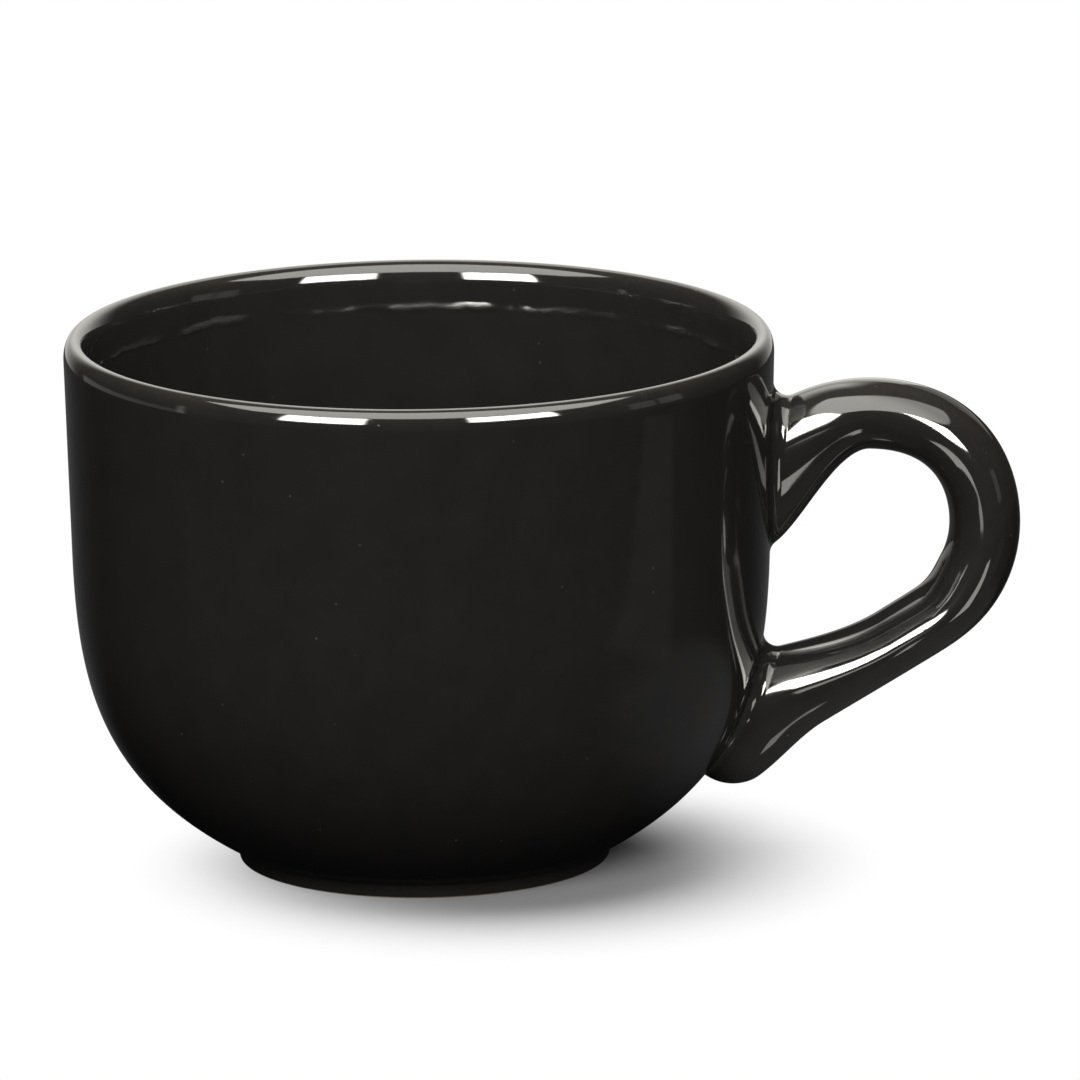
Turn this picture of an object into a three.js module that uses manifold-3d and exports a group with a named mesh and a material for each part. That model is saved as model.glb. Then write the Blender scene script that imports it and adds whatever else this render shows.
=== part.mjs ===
// A wide, low latte mug of black glazed stoneware: a bowl with its foot ring, a pulled
// loop handle, and the two beads of slip that join the handle's ends to the wall.
// Millimetres, +Z up. The mug stands on z = 0 with its handle along +X.

import * as THREE from 'three';
import { mergeVertices } from 'three/addons/utils/BufferGeometryUtils.js';
import Module from 'manifold-3d';

const { degToRad, smoothstep } = THREE.MathUtils;

// Bowl
const rimDiameter = 108;
const mugHeight = 81.4;
const wallThickness = 4;
const wallTaper = 0.85; // how much the straight wall narrows from the lip down to the belly
const wallStart = 48; // height where the belly curve becomes the straight wall
const wallPull = 20.4; // how far the belly curve is drawn along the wall
const bellySlope = degToRad(28); // rise of the belly where it leaves the foot
const bellyPull = 24.1; // how far the belly curve is drawn along that slope
const lipThickness = 3.4;
const lipDepth = 6; // height of the thinned stretch inside the lip
const floorThickness = 4.2;
const floorBlend = 3; // height over which the floor turns up into the wall

// Foot
const footDiameter = 56.6;
const footHeight = 2;
const footRingWidth = 4.6;
const footRecess = 2.6; // depth of the hollow inside the foot ring
const footEdge = 0.5; // softened edges of the foot ring

// Handle
const handleThickness = 10.8; // seen from the side
const handleWidth = 11.3; // seen from the end, at its upper limb
const limbSpread = 3.1; // how much it broadens to either side down to the lower limb
const loopReach = 15; // from the rim out to the centre of the loop
const loopHeight = 51.2;
const loopRadius = 17; // of the handle's centreline
const upperLimbRadius = 28;
const lowerLimbSlope = degToRad(31.5);
const upperRootLength = 14;
const upperRootDrop = 10.3; // how far the upper root sweeps down the wall
const upperRootNarrowing = 0.45; // share of its width that the root loses at its lower tip
const lowerRootHeight = 17.22; // where the lower limb's centreline meets the wall
const lowerRootLength = 27;
const lowerRootRise = 8.9; // how far the lower root spreads up the wall
const tailLength = 14.5;
const tailDrop = 2.1; // how much deeper the tail is than the limb
const tailTip = 7.5; // length of the tail's rounded end
const rootSpread = 0.8; // how much each root widens to either side
const rootSink = 6; // how far the handle's ends run on inside the wall line

// Slip beads
const beadSize = 2.2; // reach of the bead along the wall and along the handle
const beadEdge = 0.3; // thickness at the bead's two thin edges
const clayGap = 0.3; // between two pieces of the mug

// Facets
const bowlSegments = 64;
const bellySteps = 14;
const arcSteps = 6;
const handleSides = 28;
const handleSteps = 54;
const beadSides = 60;
const beadSteps = 3;
const wallSamples = 120;

const wasm = await Module();
wasm.setup();

const point = (x, y) => new THREE.Vector2(x, y);
const along = (start, direction, distance) => start.clone().addScaledVector(direction, distance);
const polar = (angle) => point(Math.cos(angle), Math.sin(angle));

// Outside of the bowl, from the foot up to the lip, as radius and height

const rimRadius = rimDiameter / 2;
const footRadius = footDiameter / 2;
const lipCentre = point(rimRadius - lipThickness / 2, mugHeight - lipThickness / 2);
const footTop = point(footRadius, footHeight);
const wallFoot = point(rimRadius - wallTaper, wallStart);
const wallTop = point(rimRadius, lipCentre.y);
const wallDirection = wallTop.clone().sub(wallFoot).normalize();

const belly = new THREE.CubicBezierCurve(
  footTop,
  along(footTop, polar(bellySlope), bellyPull),
  along(wallFoot, wallDirection, -wallPull),
  wallFoot,
);

const outerSide = (steps) => [...belly.getSpacedPoints(steps), wallTop];

// The same line moved outwards, or inwards where the distance is negative

function offsetSide(side, distance) {
  return side.map((here, i) => {
    const before = side[Math.max(i - 1, 0)];
    const after = side[Math.min(i + 1, side.length - 1)];
    const run = after.clone().sub(before).normalize();
    return along(here, point(run.y, -run.x), distance);
  });
}

// Point where such a line passes a height

function atHeight(side, height) {
  const above = side.findIndex((spot) => spot.y > height);
  const [low, high] = [side[above - 1], side[above]];
  return low.clone().lerp(high, (height - low.y) / (high.y - low.y));
}

// Distance from a point to the wall's outside, less than zero inside it

const wallLine = outerSide(wallSamples);

function wallClearance(place) {
  const spot = point(Math.hypot(place.x, place.y), place.z);
  const nearest = { distance: Infinity, side: 1 };
  for (let i = 1; i < wallLine.length; i += 1) {
    const run = wallLine[i].clone().sub(wallLine[i - 1]);
    const reach = spot.clone().sub(wallLine[i - 1]);
    const share = THREE.MathUtils.clamp(reach.dot(run) / run.lengthSq(), 0, 1);
    const distance = along(wallLine[i - 1], run, share).distanceTo(spot);
    if (distance < nearest.distance) {
      nearest.distance = distance;
      nearest.side = Math.sign(reach.x * run.y - reach.y * run.x);
    }
  }
  return nearest.distance * nearest.side;
}

// Bowl: one revolved profile, from the middle of the foot's hollow round to the floor

function underside() {
  const ringInside = footRadius - footRingWidth;
  return [
    point(0, footRecess),
    point(ringInside - footEdge, footRecess),
    point(ringInside, footRecess - footEdge),
    point(ringInside, footEdge),
    point(ringInside + footEdge, 0),
    point(footRadius - footEdge, 0),
    point(footRadius, footEdge),
  ];
}

function lip() {
  const start = mugHeight - lipDepth;
  const rise = (start - wallFoot.y) / (wallTop.y - wallFoot.y);
  const innerWall = point(wallFoot.x + wallTaper * rise - wallThickness, start);
  const innerLip = point(rimRadius - lipThickness, lipCentre.y);
  const halfRise = (innerLip.y - start) / 2;
  const crown = new THREE.EllipseCurve(
    lipCentre.x, lipCentre.y, lipThickness / 2, lipThickness / 2, 0, Math.PI,
  );
  const thinning = new THREE.CubicBezierCurve(
    innerLip,
    point(innerLip.x, innerLip.y - halfRise),
    point(innerWall.x, innerWall.y + halfRise),
    innerWall,
  );
  return [...crown.getPoints(2 * arcSteps).slice(1), ...thinning.getPoints(arcSteps).slice(1)];
}

function inside() {
  const floorTop = footRecess + floorThickness;
  const side = offsetSide(belly.getSpacedPoints(bellySteps), -wallThickness);
  const blendTop = atHeight(side, floorTop + floorBlend);
  const upright = side.filter((spot) => spot.y > blendTop.y).reverse();
  const run = upright.at(-1).clone().sub(blendTop).normalize();
  const corner = along(blendTop, run, (floorTop - blendTop.y) / run.y);
  const turn = new THREE.QuadraticBezierCurve(
    blendTop, corner, point(corner.x - corner.distanceTo(blendTop), floorTop),
  );
  return [...upright, ...turn.getPoints(arcSteps), point(0, floorTop)];
}

function revolve(profile) {
  return new THREE.LatheGeometry(profile, bowlSegments).rotateX(Math.PI / 2);
}

const bowl = revolve([...underside(), ...outerSide(bellySteps), ...lip(), ...inside()]);

// Handle centreline: an upper limb that rises off the wall, a round loop, and a lower limb
// that runs down to the wall. Past the wall the tail goes straight on, and its buried end
// turns level. Each station has its place and the direction that points out of the loop.

const loopCentre = point(rimRadius + loopReach, loopHeight);
const upperCentre = point(loopCentre.x, loopCentre.y + loopRadius - upperLimbRadius);
const upperStart = Math.acos((rimRadius - rootSink - loopCentre.x) / upperLimbRadius);
const upperLength = upperLimbRadius * (upperStart - Math.PI / 2);
const loopEnd = upperLength + loopRadius * (Math.PI - lowerLimbSlope);

const limbStart = along(loopCentre, polar(lowerLimbSlope - Math.PI / 2), loopRadius);
const limbFoot = atHeight(wallLine, lowerRootHeight);
const limbRun = polar(Math.PI + lowerLimbSlope);
const limbPull = limbStart.distanceTo(limbFoot) / 3;
const lowerLimb = new THREE.CubicBezierCurve(
  limbStart,
  along(limbStart, limbRun, limbPull),
  along(limbFoot, limbRun, -limbPull),
  limbFoot,
);
const lowerWall = loopEnd + lowerLimb.getLength();
const handleEnd = lowerWall + rootSink;

function centreline(distance) {
  if (distance < upperLength) {
    const place = along(upperCentre, polar(upperStart - distance / upperLimbRadius), upperLimbRadius);
    return { place, outward: point(0, 1) };
  }
  if (distance < loopEnd) {
    const outward = polar(Math.PI / 2 - (distance - upperLength) / loopRadius);
    return { place: along(loopCentre, outward, loopRadius), outward };
  }
  const share = Math.min((distance - loopEnd) / (lowerWall - loopEnd), 1);
  const run = lowerLimb.getTangentAt(share);
  const straight = THREE.MathUtils.clamp(distance - lowerWall, 0, rootSink);
  const place = along(lowerLimb.getPointAt(share), run, straight);
  place.x -= Math.max(distance - handleEnd, 0);
  return { place, outward: point(-run.y, run.x) };
}

// Halves the range between a distance inside the wall and one outside it, as far as it goes

function crossing(clearanceAt, insideEnd, outsideEnd) {
  let [within, beyond] = [insideEnd, outsideEnd];
  let middle = (within + beyond) / 2;
  while (middle !== within && middle !== beyond) {
    if (clearanceAt(middle) < 0) {
      within = middle;
    } else {
      beyond = middle;
    }
    middle = (within + beyond) / 2;
  }
  return middle;
}

function centreClearance(distance) {
  const { place } = centreline(distance);
  return wallClearance(new THREE.Vector3(place.x, 0, place.y));
}

const upperWall = crossing(centreClearance, 0, upperLength);

// Handle section at a distance along the centreline. Turn 0 is the outside of the loop and
// half a turn is the inside; growth makes the whole handle thicker all round.

function handleSurface(distance, turn, growth) {
  const { place, outward } = centreline(distance);
  const upperRoot = 1 - smoothstep(distance, upperWall, upperWall + upperRootLength);
  const lowerRoot = smoothstep(distance, lowerWall - lowerRootLength, lowerWall);
  const tail = smoothstep(distance, lowerWall - tailLength, lowerWall);
  const tip = THREE.MathUtils.clamp((distance - handleEnd - growth + tailTip) / tailTip, 0, 1);
  const closing = Math.sqrt(1 - tip * tip);
  const outHalf = handleThickness / 2 + tailDrop * tail;
  const inHalf = handleThickness / 2 + upperRootDrop * upperRoot + lowerRootRise * lowerRoot;
  const height = Math.cos(turn);
  const broadening = limbSpread * smoothstep(distance, upperWall, loopEnd);
  const spread = handleWidth / 2 + broadening + rootSpread * Math.max(upperRoot, tail);
  const narrowing = 1 - upperRootNarrowing * upperRoot * (1 - height) / 2;
  const middle = (outHalf - inHalf) / 2;
  const half = (outHalf + inHalf) / 2;
  const rise = middle * closing + height * (half * closing + growth);
  const side = Math.sin(turn) * (spread * narrowing * closing + growth);
  const spot = along(place, outward, rise);
  return new THREE.Vector3(spot.x, side, spot.y);
}

// Closed mesh from rings of points: capped at both ends, or joined end to end

function skin(rings, joined) {
  const sides = rings[0].length;
  const vertices = rings.flat();
  const triangles = [];
  const bands = joined ? rings.length : rings.length - 1;
  for (let i = 0; i < bands; i += 1) {
    const next = (i + 1) % rings.length;
    for (let j = 0; j < sides; j += 1) {
      const k = (j + 1) % sides;
      const [a, b, c, d] = [i * sides + j, i * sides + k, next * sides + k, next * sides + j];
      const split = vertices[a].distanceTo(vertices[c]) < vertices[b].distanceTo(vertices[d]);
      triangles.push(...(split ? [a, c, b, a, d, c] : [a, d, b, b, d, c]));
    }
  }
  if (!joined) {
    const last = (rings.length - 1) * sides;
    for (let j = 1; j < sides - 1; j += 1) {
      triangles.push(0, j, j + 1, last, last + j + 1, last + j);
    }
  }
  const geometry = new THREE.BufferGeometry().setFromPoints(vertices);
  geometry.setIndex(triangles);
  return geometry;
}

function toSolid(geometry) {
  const bare = geometry.clone();
  bare.deleteAttribute('normal');
  bare.deleteAttribute('uv');
  const merged = mergeVertices(bare);
  const corners = merged.index.array;
  const triangles = [];
  for (let i = 0; i < corners.length; i += 3) {
    const [a, b, c] = corners.slice(i, i + 3);
    if (a !== b && b !== c && c !== a) {
      triangles.push(a, b, c);
    }
  }
  const vertProperties = merged.attributes.position.array;
  return new wasm.Manifold(
    new wasm.Mesh({ numProp: 3, vertProperties, triVerts: new Uint32Array(triangles) }),
  );
}

function toGeometry(solid) {
  const mesh = solid.getMesh();
  const geometry = new THREE.BufferGeometry();
  geometry.setAttribute('position', new THREE.BufferAttribute(mesh.vertProperties, mesh.numProp));
  geometry.setIndex(new THREE.BufferAttribute(mesh.triVerts, 1));
  return geometry;
}

// Handle: the lofted loop, cut back to a clear gap off the wall

function turns(count) {
  return Array.from({ length: count }, (_, i) => (2 * Math.PI * i) / count);
}

function handleLoft() {
  const tipMargin = tailTip / handleSteps;
  const length = handleEnd - tipMargin;
  const rings = [];
  for (let i = 0; i <= handleSteps; i += 1) {
    const distance = (length * i) / handleSteps;
    rings.push(turns(handleSides).map((turn) => handleSurface(distance, turn, 0)));
  }
  return skin(rings, false);
}

function wallBlock() {
  const side = offsetSide(outerSide(bellySteps), clayGap);
  const crown = point(side.at(-1).x, mugHeight + lipThickness);
  return revolve([point(0, side[0].y), ...side, crown, point(0, crown.y)]);
}

const handle = toGeometry(toSolid(handleLoft()).subtract(toSolid(wallBlock())));

// Slip bead: a ring with a hollow-cornered section that lies in the angle between the
// handle's end and the wall. Each corner is so far off the handle and so far off the wall.

function beadSection() {
  const outer = clayGap + beadSize;
  const sweep = beadSize - beadEdge;
  const hollow = Array.from({ length: beadSteps + 1 }, (_, i) => {
    const angle = (Math.PI / 2) * (i / beadSteps);
    return { growth: outer - sweep * Math.sin(angle), clearance: outer - sweep * Math.cos(angle) };
  });
  const seat = Array.from({ length: beadSteps + 1 }, (_, i) => (
    { growth: clayGap, clearance: outer - beadSize * (i / beadSteps) }
  ));
  return [{ growth: outer, clearance: clayGap }, ...hollow, ...seat];
}

function slipBead(insideEnd, outsideEnd) {
  const handed = Math.sign(insideEnd - outsideEnd);
  const rings = turns(beadSides).map((turn) => beadSection().map(({ growth, clearance }) => {
    const gap = (distance) => wallClearance(handleSurface(distance, handed * turn, growth)) - clearance;
    return handleSurface(crossing(gap, insideEnd, outsideEnd), handed * turn, growth);
  }));
  return skin(rings, true);
}

const upperBead = slipBead(0, upperLength);
const lowerBead = slipBead(handleEnd + rootSink, loopEnd);

// Assembly, centred over its footprint

const blackGlaze = { color: 0x222120, roughness: 0.08, metalness: 0 };

function piece(name, geometry) {
  const mesh = new THREE.Mesh(geometry, new THREE.MeshStandardMaterial(blackGlaze));
  mesh.name = name;
  return mesh;
}

const handleGroup = new THREE.Group();
handleGroup.add(piece('handle', handle));
handleGroup.add(piece('upper_slip_bead', upperBead));
handleGroup.add(piece('lower_slip_bead', lowerBead));

const mug = new THREE.Group();
mug.name = 'latte_mug';
mug.add(piece('bowl', bowl), handleGroup);

const footprint = new THREE.Box3().setFromObject(mug).getCenter(new THREE.Vector3());
mug.position.x = -footprint.x;

export default mug;
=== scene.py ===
import math

import bpy
import numpy as np
from bpy.props import FloatProperty, FloatVectorProperty, PointerProperty
from mathutils import Matrix, Vector


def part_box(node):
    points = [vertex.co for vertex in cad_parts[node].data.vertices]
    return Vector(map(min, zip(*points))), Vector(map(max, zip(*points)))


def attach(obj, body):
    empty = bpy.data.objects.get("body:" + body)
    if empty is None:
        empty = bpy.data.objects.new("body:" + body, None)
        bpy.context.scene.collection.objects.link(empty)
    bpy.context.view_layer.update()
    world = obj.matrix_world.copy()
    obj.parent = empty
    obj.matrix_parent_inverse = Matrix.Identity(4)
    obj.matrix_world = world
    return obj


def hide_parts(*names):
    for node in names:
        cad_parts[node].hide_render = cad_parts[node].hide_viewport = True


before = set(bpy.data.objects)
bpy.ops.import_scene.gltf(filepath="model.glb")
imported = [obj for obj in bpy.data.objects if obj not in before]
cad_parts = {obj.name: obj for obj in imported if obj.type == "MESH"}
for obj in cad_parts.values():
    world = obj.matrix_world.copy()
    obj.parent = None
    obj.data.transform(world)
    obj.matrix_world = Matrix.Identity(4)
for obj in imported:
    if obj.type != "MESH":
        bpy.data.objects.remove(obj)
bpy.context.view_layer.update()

bl_info = {
    "name": "Latte Mug",
    "version": (1, 0, 0),
    "blender": (4, 5, 0),
    "location": "View3D > Sidebar > Latte Mug",
    "description": "Builds a wide black glazed latte mug over its solid model, with a plain studio stage",
    "category": "Add Mesh",
}

MM = 0.001

bowl_low, bowl_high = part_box("bowl")
_, handle_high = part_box("handle")
AXIS_X = (bowl_low.x + bowl_high.x) / 2


def linear(hex_colour):
    """Linear red, green and blue of an sRGB hex colour."""
    channels = [int(hex_colour[i:i + 2], 16) / 255 for i in (1, 3, 5)]
    return tuple(c / 12.92 if c <= 0.04045 else ((c + 0.055) / 1.055) ** 2.4 for c in channels)


def opaque(colour):
    return (*colour, 1.0)


# Sizes and colours that a user would change

COLOUR = {"subtype": "COLOR", "size": 3, "min": 0, "max": 1}


class MugSizes(bpy.types.PropertyGroup):
    """Sizes of the mug."""

    rim_diameter: FloatProperty(
        name="Rim diameter", description="Across the outside of the rim",
        default=bowl_high.x - bowl_low.x, unit="LENGTH")
    height: FloatProperty(
        name="Height", description="From the table to the top of the lip",
        default=bowl_high.z, unit="LENGTH")
    wall_thickness: FloatProperty(
        name="Wall thickness", description="Thickness of the bowl's wall",
        default=4 * MM, unit="LENGTH")
    lip_thickness: FloatProperty(
        name="Lip thickness", description="Thickness of the rounded lip",
        default=3.7 * MM, unit="LENGTH")
    foot_diameter: FloatProperty(
        name="Foot diameter", description="Across the outside of the foot ring",
        default=56.6 * MM, unit="LENGTH")
    handle_reach: FloatProperty(
        name="Handle reach", description="From the bowl's axis to the outside of the handle",
        default=handle_high.x - AXIS_X, unit="LENGTH")
    handle_top: FloatProperty(
        name="Handle top", description="From the table to the top of the handle",
        default=handle_high.z, unit="LENGTH")
    handle_thickness: FloatProperty(
        name="Handle thickness", description="Thickness of the handle seen from the side",
        default=10.8 * MM, unit="LENGTH")
    handle_width: FloatProperty(
        name="Handle width", description="Width of the handle seen from the end",
        default=11.3 * MM, unit="LENGTH")
    loop_radius: FloatProperty(
        name="Loop radius", description="Radius of the middle of the handle's loop",
        default=17 * MM, unit="LENGTH")
    fillet_radius: FloatProperty(
        name="Fillet radius", description="Hollow radius of the slip between handle and wall",
        default=2.2 * MM, unit="LENGTH")


class MugColours(bpy.types.PropertyGroup):
    """Colours of the glaze and the clay."""

    glaze: FloatVectorProperty(
        name="Glaze", description="Colour of the black glaze where it lies thick",
        **COLOUR, default=linear("#222120"))
    mottle: FloatVectorProperty(
        name="Mottle", description="Colour of the faint cloudy patches in the glaze",
        **COLOUR, default=linear("#262422"))
    thin_glaze: FloatVectorProperty(
        name="Thin glaze", description="Colour of the glaze where it thins over edges",
        **COLOUR, default=linear("#2b2622"))
    speck: FloatVectorProperty(
        name="Specks", description="Colour of the fine mineral specks",
        **COLOUR, default=linear("#4e463f"))
    clay: FloatVectorProperty(
        name="Clay", description="Colour of the bare stoneware under the foot",
        **COLOUR, default=linear("#b8a68e"))


class StageLook(bpy.types.PropertyGroup):
    """Floor and light of the studio."""

    floor: FloatVectorProperty(
        name="Floor", description="Colour of the floor",
        **COLOUR, default=linear("#dcdcdc"))
    daylight: FloatProperty(
        name="Room light", description="Strength of the even light from all round",
        default=0.45, min=0)
    key_power: FloatProperty(
        name="Key lamp", description="Power of the large soft lamp overhead",
        default=26, min=0, unit="POWER")
    front_power: FloatProperty(
        name="Front lamp", description="Power of the soft lamp in front",
        default=29, min=0, unit="POWER")


# Bowl outline, as radius and height

WALL_TAPER = 0.85 * MM
WALL_START = 48 * MM
WALL_PULL = 20.4 * MM
BELLY_SLOPE = math.radians(28)
BELLY_PULL = 24.1 * MM
LIP_OUTER_SHARE = 0.46
LIP_CROWN = 3.1 * MM
LIP_ROLL = 4.2 * MM
LIP_ROLL_END = 70
LIP_DEPTH = 12 * MM
RIDGE_DEPTH = 7 * MM
THIN_GLAZE_START = 0.3 * MM
THIN_GLAZE_END = 2.5 * MM
FLOOR_THICKNESS = 4.2 * MM
FLOOR_BLEND = 5 * MM
FOOT_HEIGHT = 2 * MM
FOOT_RING_WIDTH = 4.6 * MM
FOOT_RECESS = 2.6 * MM
FOOT_EDGE = 0.5 * MM
BOWL_SEGMENTS = 288
CURVE_STEPS = 2001
BELLY_STEPS = 110
WALL_STEPS = 24
LIP_STEPS = 26
ROLL_STEPS = 30
THINNING_STEPS = 44
INSIDE_BELLY_STEPS = 240
INSIDE_WALL_STEPS = 18
INSIDE_STEPS = 60
FLOOR_TURN_STEPS = 26
FLOOR_TURN_REACH = 1.6
FLOOR_TURN_PULL = 0.62
FLAT_FLOOR_STEPS = 10
HOLLOW_STEPS = 8
EDGE_STEPS = 6


def polar(angle):
    return np.array([math.cos(angle), math.sin(angle)])


def bezier(corners, count):
    """Points of a cubic curve, evenly spaced along it."""
    a, b, c, d = (np.asarray(corner, float) for corner in corners)
    t = np.linspace(0, 1, CURVE_STEPS)[:, None]
    fine = a * (1 - t) ** 3 + 3 * b * t * (1 - t) ** 2 + 3 * c * t * t * (1 - t) + d * t ** 3
    return even(fine, count)


def even(line, count):
    """The same line with evenly spaced points."""
    steps = np.linalg.norm(np.diff(line, axis=0), axis=1)
    run = np.concatenate([[0], np.cumsum(steps)])
    where = np.linspace(0, run[-1], count)
    return np.stack([np.interp(where, run, line[:, 0]), np.interp(where, run, line[:, 1])], axis=1)


def quarter(centre, across, up, start, end, count):
    """Part of an ellipse, between two angles in degrees."""
    angle = np.radians(np.linspace(start, end, count))
    return np.stack([centre[0] + across * np.cos(angle), centre[1] + up * np.sin(angle)], axis=1)


def side_normals(line):
    """Unit normals on the right of a line that runs upwards."""
    run = np.gradient(line, axis=0)
    run /= np.linalg.norm(run, axis=1)[:, None]
    return np.stack([run[:, 1], -run[:, 0]], axis=1)


def belly_line(sizes, count):
    rim = sizes.rim_diameter / 2
    foot_top = np.array([sizes.foot_diameter / 2, FOOT_HEIGHT])
    wall_foot = np.array([rim - WALL_TAPER, WALL_START])
    wall_run = np.array([WALL_TAPER, sizes.height - LIP_CROWN - WALL_START])
    wall_run /= np.linalg.norm(wall_run)
    return bezier([
        foot_top,
        foot_top + BELLY_PULL * polar(BELLY_SLOPE),
        wall_foot - WALL_PULL * wall_run,
        wall_foot,
    ], count)


def outer_line(sizes, belly_count, wall_count):
    """Outside of the bowl, from the top of the foot to the start of the lip."""
    belly = belly_line(sizes, belly_count)
    wall_top = np.array([sizes.rim_diameter / 2, sizes.height - LIP_CROWN])
    wall = np.linspace(belly[-1], wall_top, wall_count)
    return np.concatenate([belly, wall[1:]])


def wall_lean(sizes):
    """Sideways run of the upright wall for each unit of height."""
    return WALL_TAPER / (sizes.height - LIP_CROWN - WALL_START)


def lip_line(sizes):
    """The rounded lip, from its outside over the top to where the inner wall is full."""
    outer = LIP_OUTER_SHARE * sizes.lip_thickness
    inner = sizes.lip_thickness - outer
    crest = sizes.rim_diameter / 2 - outer
    over = quarter([crest, sizes.height - LIP_CROWN], outer, LIP_CROWN, 0, 90, LIP_STEPS)
    roll = quarter([crest, sizes.height - LIP_ROLL], inner, LIP_ROLL, 90, 90 + LIP_ROLL_END, ROLL_STEPS)
    full = np.array([sizes.rim_diameter / 2 - sizes.wall_thickness, sizes.height - LIP_DEPTH])
    slope = (roll[-1, 0] - roll[-2, 0]) / (roll[-1, 1] - roll[-2, 1])
    lean = wall_lean(sizes)
    meet = (full[0] - roll[-1, 0] + slope * roll[-1, 1] - lean * full[1]) / (slope - lean)
    corner = np.array([roll[-1, 0] + slope * (meet - roll[-1, 1]), meet])
    pulls = [roll[-1] + (corner - roll[-1]) * 2 / 3, full + (corner - full) * 2 / 3]
    thinning = bezier([roll[-1], *pulls, full], THINNING_STEPS)
    return np.concatenate([over[1:], roll[1:], thinning[1:]])


def inner_line(sizes):
    """Inside of the bowl, from below the lip down the wall and across the floor."""
    belly = belly_line(sizes, INSIDE_BELLY_STEPS)
    inside = belly - sizes.wall_thickness * side_normals(belly)
    floor = FOOT_RECESS + FLOOR_THICKNESS
    upright = inside[inside[:, 1] > floor + FLOOR_BLEND][::-1]
    last, before = upright[-1], upright[-2]
    corner = last + (last - before) * (floor - last[1]) / (last[1] - before[1])
    end = np.array([corner[0] - FLOOR_TURN_REACH * np.linalg.norm(corner - last), floor])
    pulls = [last + (corner - last) * FLOOR_TURN_PULL, end + (corner - end) * FLOOR_TURN_PULL]
    turn = bezier([last, *pulls, end], FLOOR_TURN_STEPS)
    top = np.array([sizes.rim_diameter / 2 - sizes.wall_thickness, sizes.height - LIP_DEPTH])
    wall = np.linspace(top, upright[0], INSIDE_WALL_STEPS)
    flat = np.linspace(end, [0, floor], FLAT_FLOOR_STEPS)
    return np.concatenate([wall[1:], even(upright, INSIDE_STEPS)[1:], turn[1:], flat[1:]])


def foot_line(sizes):
    """Underside, from the middle of the hollow out over the foot ring to its outer edge."""
    ring = sizes.foot_diameter / 2
    inside = ring - FOOT_RING_WIDTH
    hollow = np.linspace([0, FOOT_RECESS], [inside - FOOT_EDGE, FOOT_RECESS], HOLLOW_STEPS)
    cove, inner_edge, outer_edge = (
        quarter(centre, FOOT_EDGE, FOOT_EDGE, start, end, EDGE_STEPS) for centre, start, end in (
            ([inside - FOOT_EDGE, FOOT_RECESS - FOOT_EDGE], 90, 0),
            ([inside + FOOT_EDGE, FOOT_EDGE], 180, 270),
            ([ring - FOOT_EDGE, FOOT_EDGE], 270, 360),
        ))
    return np.concatenate([hollow, cove[1:], inner_edge, outer_edge])


def revolved(name, profile):
    """A turned surface whose outline starts and ends on the axis."""
    turns = 2 * math.pi * np.arange(BOWL_SEGMENTS) / BOWL_SEGMENTS
    rings = profile[1:-1]
    across = np.stack([np.cos(turns), np.sin(turns)], axis=1)
    body = np.zeros((len(rings), BOWL_SEGMENTS, 3))
    body[:, :, 0] = AXIS_X + rings[:, 0, None] * across[None, :, 0]
    body[:, :, 1] = rings[:, 0, None] * across[None, :, 1]
    body[:, :, 2] = rings[:, 1, None]
    bottom, top = (AXIS_X, 0, profile[0, 1]), (AXIS_X, 0, profile[-1, 1])
    points = [bottom, *map(tuple, body.reshape(-1, 3)), top]
    last = len(points) - 1
    faces = []
    for j in range(BOWL_SEGMENTS):
        k = (j + 1) % BOWL_SEGMENTS
        faces.append((0, 1 + k, 1 + j))
        for i in range(len(rings) - 1):
            a, b = 1 + i * BOWL_SEGMENTS, 1 + (i + 1) * BOWL_SEGMENTS
            faces.append((a + j, a + k, b + k, b + j))
        end = 1 + (len(rings) - 1) * BOWL_SEGMENTS
        faces.append((last, end + j, end + k))
    return new_piece(name, points, faces)


def new_piece(name, points, faces):
    mesh = bpy.data.meshes.new(name)
    mesh.from_pydata([tuple(p) for p in points], [], faces)
    mesh.shade_smooth()
    mesh.update()
    piece = bpy.data.objects.new(name, mesh)
    bpy.context.scene.collection.objects.link(piece)
    return piece


# Handle form: a loop lofted along a centreline in the X-Z plane, as distance from the axis
# and height. Turn 0 is the outside of the loop and half a turn is its inside.

LOWER_ROOT_HEIGHT = 17.22 * MM
UPPER_LIMB_RADIUS = 28 * MM
UPPER_LIMB_LIFT = 0.5 * MM
LOOP_SHOULDER = 0.5 * MM
UPPER_ROOT_LENGTH = 15.8 * MM
UPPER_ROOT_DROP = 10.6 * MM
UPPER_ROOT_NARROWING = 0.45
LOWER_ROOT_LENGTH = 30 * MM
LOWER_ROOT_RISE = 6.7 * MM
TAIL_LENGTH = 14.5 * MM
TAIL_DROP = 2.1 * MM
TAIL_TIP = 7.5 * MM
TAIL_FILLET = 1.0 * MM
ROOT_SPREAD = 0.8 * MM
LIMB_THINNING_IN = 0.85 * MM
LIMB_THINNING_OUT = 0.1 * MM
LIMB_THINNING_LENGTH = 9 * MM
LIMB_SPREAD = 3.1 * MM
LIMB_NARROWING = 1.5 * MM
ROOT_SINK = 6 * MM
EASING = 4 * MM
EASING_TAPER = 1.25
TIP_LIMIT = 0.9999
TIP_MARGIN = 0.05 * MM
TAIL_FILLET_SPAN = (0.02, 0.7)
HANDLE_SIDES = 144
HANDLE_STEPS = 240
FILLET_STEPS = 14
FILLET_EDGE = 0.15 * MM
EASING_STEPS = 9
FINE_BELLY_STEPS = 500
FINE_WALL_STEPS = 80
SEARCH_STEPS = 48


def eased(value, start, end):
    share = np.clip((value - start) / (end - start), 0, 1)
    return share * share * (3 - 2 * share)


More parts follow.
